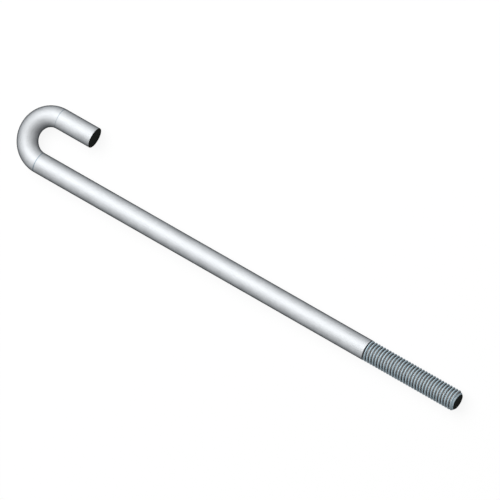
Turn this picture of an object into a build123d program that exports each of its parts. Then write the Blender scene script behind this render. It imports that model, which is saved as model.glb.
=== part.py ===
from build123d import *

import os
from math import ceil, radians, tan

# J bolt: one round steel bar, bent back on itself into a hook at one end and threaded at the other.
# It lies flat. The origin is on the shank's axis, where the shank meets the bend. +X runs along the
# shank to the thread's tip, +Y from the shank towards the hook's short leg, and +Z is up.

# Driving sizes, in millimetres unless a name says otherwise.
INCH = 25.4
BAR_DIAMETER = INCH / 2
HOOK_INSIDE_RADIUS = INCH * 5 / 16
HOOK_TO_TIP = INCH * 12  # from the inside of the bend to the thread's tip
LEG_OVERALL = INCH * 1.75  # from the outside of the bend to the leg's end
THREAD_LENGTH = INCH * 2.5
THREADS_PER_INCH = 13
TIP_CHAMFER = 1.5

# The thread is a unified one: its crest as a share of the pitch, and the angle between its flanks in
# degrees. Its root is sharp.
CREST_SHARE = 1 / 8
THREAD_ANGLE = 60

# Sizes that follow from the ones above.
BAR_RADIUS = BAR_DIAMETER / 2
BEND_RADIUS = HOOK_INSIDE_RADIUS + BAR_RADIUS
SHANK_TO_TIP = HOOK_TO_TIP - HOOK_INSIDE_RADIUS
LEG_LENGTH = LEG_OVERALL - BEND_RADIUS - BAR_RADIUS
THREAD_START = SHANK_TO_TIP - THREAD_LENGTH
PITCH = INCH / THREADS_PER_INCH
CREST_WIDTH = PITCH * CREST_SHARE
FLANK_WIDTH = (PITCH - CREST_WIDTH) / 2
THREAD_DEPTH = FLANK_WIDTH / tan(radians(THREAD_ANGLE / 2))
ROOT_RADIUS = BAR_RADIUS - THREAD_DEPTH

# The screw is made a little longer than the thread and then cut to length. It is slid back by a share
# of the pitch, which sets where the crests stand.
SPARE_TURNS = 1
SLIDE_SHARE = 0.4035
SPARE_RADIUS = PITCH


def bent_bar():
    """The plain bar: the short leg, the half-circle bend and the shank up to the thread."""
    leg_end = (LEG_LENGTH, 2 * BEND_RADIUS)
    bend_top = (0, 2 * BEND_RADIUS)
    bend_foot = (0, 0)
    leg = Line(leg_end, bend_top)
    bend = ThreePointArc(bend_top, (-BEND_RADIUS, BEND_RADIUS), bend_foot)
    shank = Line(bend_foot, (THREAD_START, 0))
    centreline = leg + bend + shank
    section = Plane(leg_end, z_dir=(-1, 0, 0)) * Circle(BAR_RADIUS)
    return sweep(section, path=centreline)


def thread_profile():
    """The corners of one thread, as (distance along the axis, radius): crest, falling and rising flank."""
    return [
        (0, BAR_RADIUS),
        (CREST_WIDTH, BAR_RADIUS),
        (CREST_WIDTH + FLANK_WIDTH, ROOT_RADIUS),
        (PITCH, BAR_RADIUS),
    ]


def helix_turn(start, radius):
    """One right-hand turn of a helix round the shank's axis, from a place along it."""
    return Edge.make_helix(PITCH, PITCH, radius, center=(start, 0, 0), normal=(1, 0, 0))


def one_turn(start):
    """The three helical strips of one turn of the thread."""
    corners = [helix_turn(start + along, radius) for along, radius in thread_profile()]
    return [Face.make_surface_from_curves(low, high) for low, high in zip(corners, corners[1:])]


def end_cap(start):
    """Closes the screw's end: a helical step up to the crest and the thread's flat section."""
    crest = helix_turn(start, BAR_RADIUS)
    axis_low = Vector(start, 0, 0)
    axis_high = Vector(start + PITCH, 0, 0)
    step = Face.make_surface_from_curves(Edge.make_line(axis_low, axis_high), crest)
    outward = (crest.position_at(0) - axis_low).normalized()
    corners = [axis_low + Vector(along, 0, 0) + outward * radius for along, radius in thread_profile()]
    section = Face(Wire.make_polygon([axis_low, *corners, axis_high], close=True))
    return [step, section]


def screw():
    """A solid screw without a core or a hole, longer than the thread at both ends."""
    turns = ceil(THREAD_LENGTH / PITCH) + 2 * SPARE_TURNS
    first = THREAD_START - (SPARE_TURNS + SLIDE_SHARE) * PITCH
    last = first + turns * PITCH
    strips = [strip for turn in range(turns) for strip in one_turn(first + turn * PITCH)]
    return Solid(Shell([*strips, *end_cap(first), *end_cap(last)]))


def thread_blank():
    """The round space the thread is cut from: square at the shank, chamfered at the tip."""
    outer = BAR_RADIUS + SPARE_RADIUS
    outline = Polyline(
        (THREAD_START, 0),
        (THREAD_START, outer),
        (SHANK_TO_TIP - TIP_CHAMFER - SPARE_RADIUS, outer),
        (SHANK_TO_TIP, BAR_RADIUS - TIP_CHAMFER),
        (SHANK_TO_TIP, 0),
        close=True,
    )
    return revolve(make_face(outline), Axis.X)


def j_bolt():
    """The whole bolt as one solid."""
    thread = screw() & thread_blank()
    return bent_bar() + thread


os.makedirs("parts", exist_ok=True)
export_step(j_bolt(), "parts/j_bolt.step")
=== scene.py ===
"""J bolt: a round steel bar with a hook bent at one end and a thread cut at the other."""

import math

import bpy
from bpy.props import FloatProperty, FloatVectorProperty, IntProperty, PointerProperty
from mathutils import Matrix, Vector


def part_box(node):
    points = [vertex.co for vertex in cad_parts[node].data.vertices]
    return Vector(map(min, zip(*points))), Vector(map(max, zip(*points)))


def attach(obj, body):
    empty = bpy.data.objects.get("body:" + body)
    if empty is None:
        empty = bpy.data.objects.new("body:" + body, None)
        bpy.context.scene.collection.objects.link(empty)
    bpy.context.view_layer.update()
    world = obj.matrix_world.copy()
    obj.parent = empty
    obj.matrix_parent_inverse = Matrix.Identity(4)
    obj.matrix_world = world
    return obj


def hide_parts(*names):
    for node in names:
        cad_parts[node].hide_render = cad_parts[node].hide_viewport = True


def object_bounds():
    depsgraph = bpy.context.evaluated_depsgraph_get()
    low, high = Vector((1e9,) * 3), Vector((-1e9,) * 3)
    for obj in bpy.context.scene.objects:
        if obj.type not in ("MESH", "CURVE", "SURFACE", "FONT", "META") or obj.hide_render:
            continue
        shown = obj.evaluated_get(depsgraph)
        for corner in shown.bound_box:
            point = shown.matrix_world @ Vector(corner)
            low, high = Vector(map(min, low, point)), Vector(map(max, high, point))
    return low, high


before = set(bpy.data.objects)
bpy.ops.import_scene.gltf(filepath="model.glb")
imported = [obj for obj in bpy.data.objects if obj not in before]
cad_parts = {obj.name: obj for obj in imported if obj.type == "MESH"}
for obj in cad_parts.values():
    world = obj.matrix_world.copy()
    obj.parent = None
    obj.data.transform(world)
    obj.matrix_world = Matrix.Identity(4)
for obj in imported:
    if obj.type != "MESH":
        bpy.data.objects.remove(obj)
CAD_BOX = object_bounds()

bl_info = {
    "name": "J Bolt",
    "version": (1, 0, 0),
    "blender": (4, 5, 0),
    "location": "View3D > Sidebar > J Bolt",
    "description": "Models a hook bolt with a cut thread and lights it on a pale floor",
    "category": "Add Mesh",
}

NODE = "j_bolt"
BODY = "root"

# Form of the thread. Lengths here and below are in metres, and shares are of the pitch.
FLANK_ANGLE = math.radians(30)  # of each flank, from square to the axis
CREST_SHARE = 1 / 8
ROOT_SHARE = 0.08
SLIDE_SHARE = 0.4035  # how far the thread is slid back, which sets where its crests stand
SPARE_TURNS = 2  # turns of the cutter past each end of the thread
CUTTER_RISE = 0.0002  # how far the cutter stands out of the bar

# Steel. Roughness, metal and film are shares from 0 to 1.
STEEL_ROUGHNESS = 0.39
ROUGHNESS_SPREAD = 0.05
COLOUR_SPREAD = 0.07
BAR_METAL, CREST_METAL, GROOVE_METAL = 0.5, 0.1, 0.8
# The fuller film in the thread's grooves is partly painted shade.
BAR_FILM, CREST_FILM, GROOVE_FILM = 1.0, 0.35, 1.0
FILM_IOR = 1.005
FILM_ROUGHNESS = 0.4
GROOVE_SHADE = (0.0003, 0.0008)  # depths under the crests between which the colour turns
THREAD_COVER = 0.9  # share of the thread's colour over that of the bar
LINE_STRETCH = 0.012  # how fast the drawn lines change along the bar, as a share of across it
LINE_DEPTH = 0.000006
RING_EDGE = (0.00015, 0.0004)  # distances over which a die mark fades out
RING_COVER = 0.9

# Cut ends. Their near-black colour is painted shade.
CUT_END_ROUGHNESS = 0.75
CUT_END_SPREAD = (0.7, 1.5)  # darkest and lightest, as shares of the cut end's colour
SCAR_STRETCH = 0.1  # how fast the scars change along Y, as a share of along Z
SCAR_DEPTH = 0.00002

# Floor, world and lamp. A level of 1 is white.
FLOOR_SIZE = 12
SEEN_FLOOR_LIT = 0.1  # share of the floor that is seen lit, and so holds the shadow
SEEN_FLOOR_COLOUR = (0.85, 0.85, 0.85, 1)
WORLD_LIGHT, WORLD_SHEEN = 0.15, 0.6  # as light, and as metal reflects it
LAMP_LEVEL = 1.085  # how bright a white face that looks up shows in the lamp's light
LAMP_DIRECTION = Vector((-0.40, 0.265, 0.885)).normalized()
LAMP_DISTANCE = 3.0
LAMP_HALF_ANGLE = 0.52  # half of the angle that the lamp fills, in radians

# Camera. Its lens is so long that the bolt shows almost without perspective.
CAMERA_DIRECTION = Vector((0.35037, 0.1285, 0.92775)).normalized()
CAMERA_UP = Vector((-0.46438, 0.88405, 0.05293))
CAMERA_AIM = Vector((0.002853, 0.002516, 0.000506))  # from the middle of the bolt's box
CAMERA_DISTANCE = 13.22
CAMERA_LENS = 1650.0


# Sizes and colours -----------------------------------------------------------------------------


class JBoltSizes(bpy.types.PropertyGroup):
    """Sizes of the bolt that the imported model's box doesn't give."""

    bar_diameter: FloatProperty(
        name="Bar diameter", description="Diameter of the bar, over the thread's crests",
        default=0.0127, min=0.001, unit="LENGTH",
    )
    hook_inside_radius: FloatProperty(
        name="Hook inside radius", description="Radius of the inside of the bend",
        default=0.0079375, min=0.001, unit="LENGTH",
    )
    leg_length: FloatProperty(
        name="Leg length", description="Straight part of the short leg",
        default=0.0238125, min=0.0, unit="LENGTH",
    )
    thread_length: FloatProperty(
        name="Thread length", description="Length of the thread, from the tip",
        default=0.0635, min=0.0, unit="LENGTH",
    )
    thread_pitch: FloatProperty(
        name="Thread pitch", description="Distance from one crest to the next",
        default=0.0254 / 13, min=0.0002, unit="LENGTH", precision=6,
    )
    tip_chamfer: FloatProperty(
        name="Tip chamfer", description="Length of the 45 degree chamfer at the tip",
        default=0.0015, min=0.0, unit="LENGTH", precision=5,
    )
    sides: IntProperty(
        name="Sides", description="Number of faces round the bar", default=96, min=12,
    )
    bend_steps: IntProperty(
        name="Bend steps", description="Number of steps round the bend", default=37, min=8,
    )


def colour(name, description, red, green, blue):
    """A colour that the panel shows."""
    return FloatVectorProperty(
        name=name, description=description, subtype="COLOR", size=3,
        default=(red, green, blue), min=0.0, max=1.0,
    )


class JBoltColours(bpy.types.PropertyGroup):
    """Colours of the bolt and of the floor."""

    steel: colour("Steel", "Colour of the plain bar", 0.915, 0.925, 0.935)
    die_mark: colour("Die mark", "Colour of the rings at the bend's ends", 0.32, 0.42, 0.49)
    crest: colour("Thread crest", "Colour of the thread's crests", 0.62, 0.79, 0.885)
    groove: colour("Thread groove", "Colour of the thread's grooves", 0.87, 0.86, 0.85)
    film: colour("Oil film", "Colour that the oil film lets through", 0.5, 0.51, 0.52)
    # The grooves' darker film colour is partly oil and partly painted shade.
    groove_film_and_shade: colour("Groove film", "The same, in the thread's grooves", 0.42, 0.42, 0.42)
    # The cut ends' near-black colour is painted shade.
    cut_end_shade: colour("Cut end", "Colour of the bar's two cut ends", 0.036, 0.040, 0.038)
    floor: colour("Floor", "Colour of the floor, as the bolt is lit by it", 0.36, 0.36, 0.36)


# Modelling helpers -----------------------------------------------------------------------------


def start_piece(name, add, **settings):
    """Adds a primitive with everything else deselected, names it and goes into edit mode."""
    if bpy.context.mode != "OBJECT":
        bpy.ops.object.mode_set(mode="OBJECT")
    bpy.ops.object.select_all(action="DESELECT")
    add(**settings)
    piece = bpy.context.active_object
    piece.name = piece.data.name = name
    bpy.ops.object.transform_apply(location=True, rotation=True, scale=True)
    bpy.ops.object.mode_set(mode="EDIT")
    return piece


def apply_modifiers(piece):
    """Applies every modifier of the piece, from the top."""
    bpy.context.view_layer.objects.active = piece
    for modifier in list(piece.modifiers):
        bpy.ops.object.modifier_apply(modifier=modifier.name)


def combine(piece, other, name, operation):
    """Cuts a piece by another or trims it to the other, which is then gone."""
    modifier = piece.modifiers.new(name, "BOOLEAN")
    modifier.operation = operation
    modifier.solver = "EXACT"
    modifier.object = other
    apply_modifiers(piece)
    bpy.data.meshes.remove(other.data)
    if not piece.data.polygons:
        raise RuntimeError(f"{name} leaves nothing of {piece.name}, so a size is out of proportion")


def clean_up():
    """Merges doubles and turns the normals outwards, in edit mode."""
    bpy.ops.mesh.select_all(action="SELECT")
    bpy.ops.mesh.remove_doubles(threshold=1e-6)
    bpy.ops.mesh.normals_make_consistent(inside=False)
    bpy.ops.mesh.select_all(action="DESELECT")


def move_face(x):
    """Extrudes the selected face along the bar."""
    bpy.ops.mesh.extrude_region_move(TRANSFORM_OT_translate={"value": (x, 0, 0)})


def draw_outline(name, points):
    """Starts a piece as a closed outline of edges from point to point."""
    piece = start_piece(name, bpy.ops.mesh.primitive_plane_add, size=1, location=points[0])
    bpy.ops.mesh.merge(type="CENTER")
    for last, point in zip(points, points[1:]):
        step = Vector(point) - Vector(last)
        bpy.ops.mesh.extrude_vertices_move(TRANSFORM_OT_translate={"value": step})
    bpy.ops.mesh.select_all(action="SELECT")
    bpy.ops.mesh.edge_face_add()
    bpy.ops.mesh.delete(type="ONLY_FACE")
    bpy.ops.object.mode_set(mode="OBJECT")
    return piece


# Pieces ----------------------------------------------------------------------------------------


class JBOLT_OT_add_bolt(bpy.types.Operator):
    """Model the bolt: the bent bar, its chamfered tip and the thread cut into it"""

    bl_idname = "mesh.j_bolt_add"
    bl_label = "Add J Bolt"

    def execute(self, context):
        sizes = context.scene.j_bolt_sizes
        colours = context.scene.j_bolt_colours
        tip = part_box(NODE)[1].x
        bar = bent_bar(sizes, tip)
        bar.data.materials.append(steel_material(sizes, colours, tip))
        bar.data.materials.append(cut_end_shade_material(colours))
        paint_shade_on_cut_ends(bar)
        combine(bar, thread_groove(sizes, tip), "Thread", "DIFFERENCE")
        bpy.ops.object.mode_set(mode="EDIT")
        clean_up()
        bpy.ops.object.mode_set(mode="OBJECT")
        bpy.ops.object.select_all(action="DESELECT")
        bar.select_set(True)
        bpy.ops.object.shade_smooth_by_angle(angle=math.radians(30))
        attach(bar, BODY)
        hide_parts(NODE)
        return {"FINISHED"}


def bent_bar(sizes, tip):
    """The bar from the leg's end, round the bend and along the shank to the chamfered tip."""
    radius = sizes.bar_diameter / 2
    bend = sizes.hook_inside_radius + radius
    bar = start_piece(
        "bolt", bpy.ops.mesh.primitive_circle_add, vertices=sizes.sides, radius=radius,
        fill_type="NGON", location=(sizes.leg_length, 2 * bend, 0), rotation=(0, math.pi / 2, 0),
    )
    move_face(-sizes.leg_length)
    bpy.ops.mesh.spin(
        steps=sizes.bend_steps, angle=-math.pi, center=(0, bend, 0), axis=(0, 0, 1),
    )
    before_thread = tip - sizes.thread_length - sizes.thread_pitch / 4
    chamfer = tip - sizes.tip_chamfer
    tip_scale = 1 - sizes.tip_chamfer / radius
    move_face(before_thread)
    move_face(chamfer - before_thread)
    move_face(sizes.tip_chamfer)
    bpy.ops.transform.resize(value=(1, tip_scale, tip_scale), center_override=(tip, 0, 0))
    clean_up()
    bpy.ops.object.mode_set(mode="OBJECT")
    return bar


def paint_shade_on_cut_ends(bar):
    """Gives the bar's two ends, its only faces with many sides, the second material, which paints
    them near black as shade.
    """
    bpy.ops.object.mode_set(mode="EDIT")
    bpy.ops.mesh.select_mode(type="FACE")
    bpy.ops.mesh.select_face_by_sides(number=4, type="GREATER")
    bar.active_material_index = 1
    bpy.ops.object.material_slot_assign()
    bpy.ops.mesh.select_mode(type="VERT")
    bpy.ops.object.mode_set(mode="OBJECT")


def thread_groove(sizes, tip):
    """The groove that the thread is cut with, as a solid that winds on past the tip."""
    radius = sizes.bar_diameter / 2
    pitch = sizes.thread_pitch
    start = tip - sizes.thread_length
    flank = math.tan(FLANK_ANGLE)
    half_mouth = (1 - CREST_SHARE) / 2 * pitch
    half_root = ROOT_SHARE / 2 * pitch
    half_top = half_mouth + CUTTER_RISE * flank
    top = radius + CUTTER_RISE
    root = radius - (half_mouth - half_root) / flank
    first_crest = start - (SPARE_TURNS + SLIDE_SHARE) * pitch
    first = first_crest + CREST_SHARE * pitch + half_mouth
    groove = draw_outline("groove", [
        (first - half_top, 0, top), (first - half_root, 0, root),
        (first + half_root, 0, root), (first + half_top, 0, top),
    ])
    wind = groove.modifiers.new("Wind", "SCREW")
    wind.axis = "X"
    wind.angle = math.tau
    wind.screw_offset = pitch
    wind.iterations = math.ceil(sizes.thread_length / pitch) + 2 * SPARE_TURNS
    wind.steps = wind.render_steps = sizes.sides
    apply_modifiers(groove)
    bpy.ops.object.mode_set(mode="EDIT")
    bpy.ops.mesh.select_all(action="SELECT")
    bpy.ops.mesh.fill_holes(sides=4)
    clean_up()
    bpy.ops.object.mode_set(mode="OBJECT")
    size = sizes.thread_length + 2 * SPARE_TURNS * pitch
    block = start_piece(
        "block", bpy.ops.mesh.primitive_cube_add, size=size, location=(start + size / 2, 0, 0),
    )
    bpy.ops.object.mode_set(mode="OBJECT")
    combine(groove, block, "Trim", "INTERSECT")
    return groove


# Materials -------------------------------------------------------------------------------------


class Nodes:
    """The node tree of a new material or world, with short ways to add and join its nodes."""

    def __init__(self, owner):
        owner.use_nodes = True
        self.tree = owner.node_tree

    def put(self, value, socket):
        """Joins a node's output to a socket, or sets the socket's own value."""
        if isinstance(value, bpy.types.NodeSocket):
            self.tree.links.new(value, socket)
        elif value is not None:
            socket.default_value = value

    def add(self, kind, *inputs, **settings):
        """Adds a node, joins or sets its inputs in order, and gives back its first output."""
        node = self.tree.nodes.new(kind)
        for name, value in settings.items():
            setattr(node, name, value)
        for socket, value in zip(node.inputs, inputs):
            self.put(value, socket)
        return node.outputs[0]

    def outputs(self, kind):
        """Adds a node and gives back all its outputs."""
        return self.tree.nodes.new(kind).outputs

    def math(self, operation, *inputs):
        return self.add("ShaderNodeMath", *inputs, operation=operation)

    def plus(self, first, second):
        return self.math("ADD", first, second)

    def minus(self, first, second):
        return self.math("SUBTRACT", first, second)

    def times(self, first, second):
        return self.math("MULTIPLY", first, second)

    def lower(self, first, second):
        return self.math("MINIMUM", first, second)

    def higher(self, first, second):
        return self.math("MAXIMUM", first, second)

    def far(self, first, second):
        """Distance of a point from the origin, by its two measures."""
        squares = [self.math("POWER", value, 2.0) for value in (first, second)]
        return self.math("SQRT", self.plus(*squares))

    def split(self, vector):
        return self.add("ShaderNodeSeparateXYZ", vector).node.outputs[:3]

    def join(self, x, y, z):
        return self.add("ShaderNodeCombineXYZ", x, y, z)

    def noise(self, vector, scale, detail, roughness):
        """Noise about 0.5."""
        node = self.add("ShaderNodeTexNoise", vector).node
        node.inputs["Scale"].default_value = scale
        node.inputs["Detail"].default_value = detail
        node.inputs["Roughness"].default_value = roughness
        return node.outputs["Fac"]

    def ramp(self, value, low, high, to_low, to_high):
        """Maps low..high smoothly to to_low..to_high, and holds the ends."""
        return self.add(
            "ShaderNodeMapRange", value, low, high, to_low, to_high, interpolation_type="SMOOTHSTEP",
        )

    def swing(self, noise):
        """Spreads the middle of a noise over -0.5 to 0.5."""
        return self.ramp(noise, 0.3, 0.7, -0.5, 0.5)

    def between(self, share, first, second):
        """Mixes two numbers. The socket passed over is the share of a vector."""
        return self.add("ShaderNodeMix", share, None, first, second)

    def blend(self, share, first, second):
        """Mixes two colours."""
        node = self.add("ShaderNodeMix", share, data_type="RGBA").node
        sockets = [socket for socket in node.inputs if socket.type == "RGBA"]
        for value, socket in zip((first, second), sockets):
            self.put(value, socket)
        return next(socket for socket in node.outputs if socket.type == "RGBA")

    def finish(self, bump, depth, inputs):
        """Sets the shader's inputs by name, and its bump, from a height and a depth in metres."""
        shader = self.tree.nodes["Principled BSDF"]
        for name, value in inputs.items():
            self.put(value, shader.inputs[name])
        node = self.tree.nodes.new("ShaderNodeBump")
        self.put(1.0, node.inputs["Strength"])
        self.put(depth, node.inputs["Distance"])
        self.put(bump, node.inputs["Height"])
        self.put(node.outputs[0], shader.inputs["Normal"])


def tint(colour, level=1.0):
    """A colour, made lighter or darker, as a node takes it."""
    return (*(min(1.0, part * level) for part in colour), 1)


def bar_places(n, x, y, bend):
    """Distance along the bar from the shank's end of the bend, distance out from its centre line in
    the hook's plane, and the direction along the bar."""
    behind = n.lower(x, 0.0)
    across = n.minus(bend, y)
    angle = n.math("ARCTAN2", n.times(behind, -1.0), across)
    cosine = n.math("COSINE", angle)
    ahead = n.times(n.higher(x, 0.0), cosine)
    along = n.minus(n.times(angle, bend), ahead)
    out = n.minus(n.far(behind, across), bend)
    grain = n.join(n.times(cosine, -1.0), n.math("SINE", angle), 0.0)
    return along, out, grain


def thread_places(n, x, y, z, sizes, tip):
    """Where the thread is, as 0 or 1, and how deep in its groove a point lies, from 0 to 1."""
    radius = sizes.bar_diameter / 2
    threaded = n.math("GREATER_THAN", x, tip - sizes.thread_length)
    crest = n.lower(n.minus(tip - sizes.tip_chamfer + radius, x), radius)
    groove = n.ramp(n.minus(crest, n.far(y, z)), *GROOVE_SHADE, 0.0, 1.0)
    return threaded, groove


def steel_material(sizes, colours, tip):
    """Pale drawn steel under a film of oil: fine lines along the bar, marks from the bending die, and
    a thread with bluish crests and dark grooves, whose fuller and darker film is partly oil and
    partly painted shade."""
    bend = sizes.hook_inside_radius + sizes.bar_diameter / 2
    material = bpy.data.materials.new("drawn_steel")
    n = Nodes(material)
    x, y, z = n.split(n.outputs("ShaderNodeTexCoord")["Object"])
    along, out, grain = bar_places(n, x, y, bend)
    threaded, groove = thread_places(n, x, y, z, sizes, tip)

    # Lines drawn along the bar and broad mottling
    drawn_out = n.join(n.times(along, LINE_STRETCH), out, z)
    lines = n.noise(drawn_out, scale=2600.0, detail=3.0, roughness=0.65)
    mottle = n.noise(n.join(along, out, z), scale=160.0, detail=4.0, roughness=0.6)
    tone = n.plus(n.swing(lines), n.swing(mottle))

    # Faint rings where the bending die began and ended
    from_shank = n.math("ABSOLUTE", along)
    from_leg = n.math("ABSOLUTE", n.minus(along, math.pi * bend))
    ring = n.ramp(n.lower(from_shank, from_leg), *RING_EDGE, RING_COVER, 0.0)

    # Colour of the bar and of the thread
    grey = tint(colours.steel, 1 - COLOUR_SPREAD)
    pale = tint(colours.steel, 1 + COLOUR_SPREAD)
    base = n.blend(n.plus(n.times(tone, 0.5), 0.5), grey, pale)
    base = n.blend(ring, base, tint(colours.die_mark))
    thread = n.blend(groove, tint(colours.crest), tint(colours.groove))

    thread_metal = n.between(groove, CREST_METAL, GROOVE_METAL)
    thread_film = n.between(groove, CREST_FILM, GROOVE_FILM)
    in_groove = n.times(threaded, groove)
    n.finish(bump=lines, depth=LINE_DEPTH, inputs={
        "Base Color": n.blend(n.times(threaded, THREAD_COVER), base, thread),
        "Metallic": n.between(threaded, BAR_METAL, thread_metal),
        "Roughness": n.plus(n.times(tone, ROUGHNESS_SPREAD), STEEL_ROUGHNESS),
        "Specular IOR Level": 1.0,
        "Specular Tint": (0, 0, 0, 1),
        "Anisotropic": 1.0,
        "Anisotropic Rotation": 0.25,
        "Tangent": grain,
        "Coat Weight": n.between(threaded, BAR_FILM, thread_film),
        "Coat Roughness": FILM_ROUGHNESS,
        "Coat IOR": FILM_IOR,
        # Painted shade in the grooves, partly oil: the film there is tinted darker.
        "Coat Tint": n.blend(in_groove, tint(colours.film), tint(colours.groove_film_and_shade)),
    })
    return material


def cut_end_shade_material(colours):
    """Rough face left by the shear, with its scars, painted near black as shade."""
    material = bpy.data.materials.new("cut_end_shade")
    n = Nodes(material)
    x, y, z = n.split(n.outputs("ShaderNodeTexCoord")["Object"])
    across = n.join(x, n.times(y, SCAR_STRETCH), z)
    scars = n.noise(across, scale=1500.0, detail=3.0, roughness=0.6)
    dark, light = (tint(colours.cut_end_shade, level) for level in CUT_END_SPREAD)
    n.finish(bump=scars, depth=SCAR_DEPTH, inputs={
        "Base Color": n.blend(scars, dark, light),
        "Roughness": CUT_END_ROUGHNESS,
        "Specular IOR Level": 0.0,
    })
    return material


def floor_material(colours):
    """A floor that lights the bolt in its own colour. The camera and the bolt's metal see it almost
    white, with the bolt's shadow on it."""
    material = bpy.data.materials.new("floor")
    n = Nodes(material)
    n.tree.nodes.remove(n.tree.nodes["Principled BSDF"])
    path = n.outputs("ShaderNodeLightPath")
    seen = n.higher(path["Is Camera Ray"], path["Is Glossy Ray"])
    seen = n.higher(seen, path["Is Transmission Ray"])
    white = n.add("ShaderNodeEmission", (1, 1, 1, 1))
    lit = n.add("ShaderNodeBsdfDiffuse", SEEN_FLOOR_COLOUR)
    shown = n.add("ShaderNodeMixShader", SEEN_FLOOR_LIT, white, lit)
    own = n.add("ShaderNodeBsdfDiffuse", tint(colours.floor))
    surface = n.add("ShaderNodeMixShader", seen, own, shown)
    n.put(surface, n.tree.nodes["Material Output"].inputs["Surface"])
    # Its glow is only looked at, so it isn't sampled as a lamp.
    material.cycles.emission_sampling = "NONE"
    return material


# Floor, light and camera -----------------------------------------------------------------------


class JBOLT_OT_add_stage(bpy.types.Operator):
    """Add the pale floor, the soft lamp and the camera"""

    bl_idname = "scene.j_bolt_stage_add"
    bl_label = "Add Stage"

    def execute(self, context):
        middle = (CAD_BOX[0] + CAD_BOX[1]) / 2
        add_floor(context, middle)
        add_world(context)
        add_lamp(context, middle)
        add_camera(context, middle + CAMERA_AIM)
        context.scene.view_settings.view_transform = "Standard"
        return {"FINISHED"}


def add_floor(context, middle):
    """A wide floor at the foot of the bolt."""
    bpy.ops.object.select_all(action="DESELECT")
    bpy.ops.mesh.primitive_plane_add(
        size=FLOOR_SIZE, location=(middle.x, middle.y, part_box(NODE)[0].z),
    )
    floor = context.active_object
    floor.name = "floor"
    floor.data.materials.append(floor_material(context.scene.j_bolt_colours))


def add_world(context):
    """Dim light from all round, which the camera sees as white."""
    world = bpy.data.worlds.new("studio")
    context.scene.world = world
    n = Nodes(world)
    path = n.outputs("ShaderNodeLightPath")
    sheen = n.between(path["Is Glossy Ray"], WORLD_LIGHT, WORLD_SHEEN)
    background = n.tree.nodes["Background"]
    n.put((1, 1, 1, 1), background.inputs["Color"])
    n.put(n.higher(path["Is Camera Ray"], sheen), background.inputs["Strength"])


def add_lamp(context, middle):
    """A round soft box, turned to the bolt's middle."""
    place = middle + LAMP_DISTANCE * LAMP_DIRECTION
    bpy.ops.object.light_add(type="AREA", location=place)
    lamp = context.active_object
    lamp.name = "soft_box"
    lamp.rotation_mode = "QUATERNION"
    lamp.rotation_quaternion = LAMP_DIRECTION.to_track_quat("Z", "Y")
    lamp.data.shape = "DISK"
    lamp.data.size = 2 * LAMP_DISTANCE * math.tan(LAMP_HALF_ANGLE)
    spread = math.pi * LAMP_DISTANCE / math.cos(LAMP_HALF_ANGLE)
    lamp.data.energy = LAMP_LEVEL / LAMP_DIRECTION.z * spread**2


def add_camera(context, aim):
    """A camera with a very long lens, aimed at a point."""
    bpy.ops.object.camera_add(location=aim + CAMERA_DISTANCE * CAMERA_DIRECTION)
    camera = context.active_object
    camera.name = "camera"
    camera.data.lens = CAMERA_LENS
    right = CAMERA_UP.cross(CAMERA_DIRECTION).normalized()
    up = CAMERA_DIRECTION.cross(right)
    camera.rotation_mode = "QUATERNION"
    camera.rotation_quaternion = Matrix((right, up, CAMERA_DIRECTION)).transposed().to_quaternion()
    context.scene.camera = camera


# Panel and registration ------------------------------------------------------------------------


class JBOLT_PT_panel(bpy.types.Panel):
    """Sizes, colours and buttons in the sidebar"""

    bl_idname = "JBOLT_PT_panel"
    bl_label = "J Bolt"
    bl_space_type = "VIEW_3D"
    bl_region_type = "UI"
    bl_category = "J Bolt"

    def draw(self, context):
        layout = self.layout
        for group in (context.scene.j_bolt_sizes, context.scene.j_bolt_colours):
            for name in group.bl_rna.properties.keys():
                if name not in ("rna_type", "name"):
                    layout.prop(group, name)
        layout.operator(JBOLT_OT_add_bolt.bl_idname)
        layout.operator(JBOLT_OT_add_stage.bl_idname)


CLASSES = (JBoltSizes, JBoltColours, JBOLT_OT_add_bolt, JBOLT_OT_add_stage, JBOLT_PT_panel)


def register():
    for cls in CLASSES:
        bpy.utils.register_class(cls)
    bpy.types.Scene.j_bolt_sizes = PointerProperty(type=JBoltSizes)
    bpy.types.Scene.j_bolt_colours = PointerProperty(type=JBoltColours)


def unregister():
    del bpy.types.Scene.j_bolt_colours
    del bpy.types.Scene.j_bolt_sizes
    for cls in reversed(CLASSES):
        bpy.utils.unregister_class(cls)


def main():
    register()
    bpy.ops.mesh.j_bolt_add()
    bpy.ops.scene.j_bolt_stage_add()


if __name__ == "__main__":
    main()
